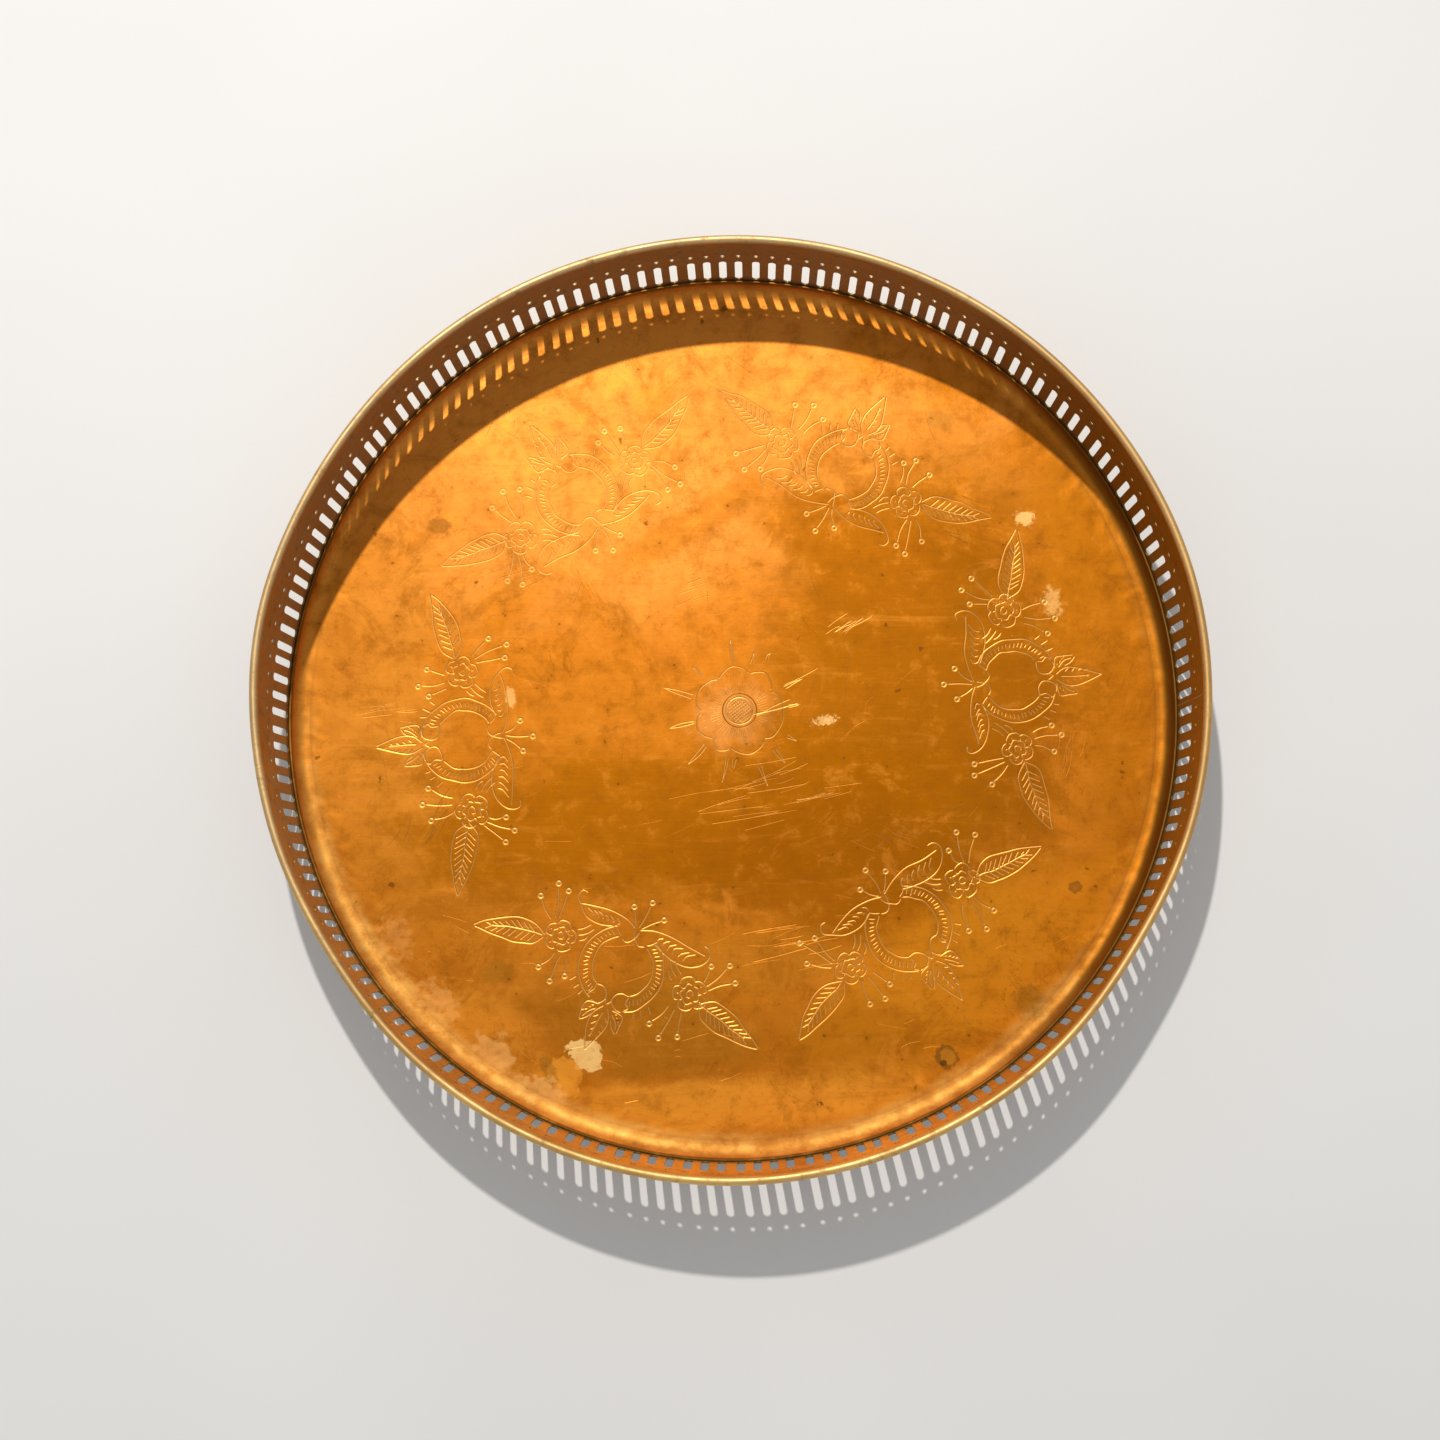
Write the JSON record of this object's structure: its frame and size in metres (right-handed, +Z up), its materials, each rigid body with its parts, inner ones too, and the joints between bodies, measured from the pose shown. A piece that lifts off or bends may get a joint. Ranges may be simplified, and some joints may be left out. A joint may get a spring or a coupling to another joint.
{
  "type": "round brass gallery tray",
  "caption": "Round dished brass tray with an upright pierced gallery of upright slots and a wired rim bead, the loose top of a tray table",
  "frame": {"origin": "middle of the flat underside, on the surface that the tray rests on", "axes": "+Z up through the tray's middle; +X and +Y lie in the floor; the two joints between the gallery strips are on the X axis"},
  "size_m": [0.4572, 0.4572, 0.0609],
  "materials": {
    "brass_pan": "old polished brass, engraved, warm orange patina with stains and fine scratches",
    "brass_gallery": "old brass sheet, tarnished brown in the corners",
    "brass_rim": "rubbed brass, brighter along the top from handling",
    "solder": "dull grey soft solder",
    "steel_wire": "plain drawn steel wire, hidden inside the rim"
  },
  "bodies": {
    "root": {"tray_pan": "brass_pan", "gallery_strip_front": "brass_gallery", "gallery_strip_back": "brass_gallery", "gallery_joint_solder": "solder", "rim_bead": "brass_rim", "rim_wire": "steel_wire", "foot_solder_seam": "solder"}
  },
  "joints": []
}
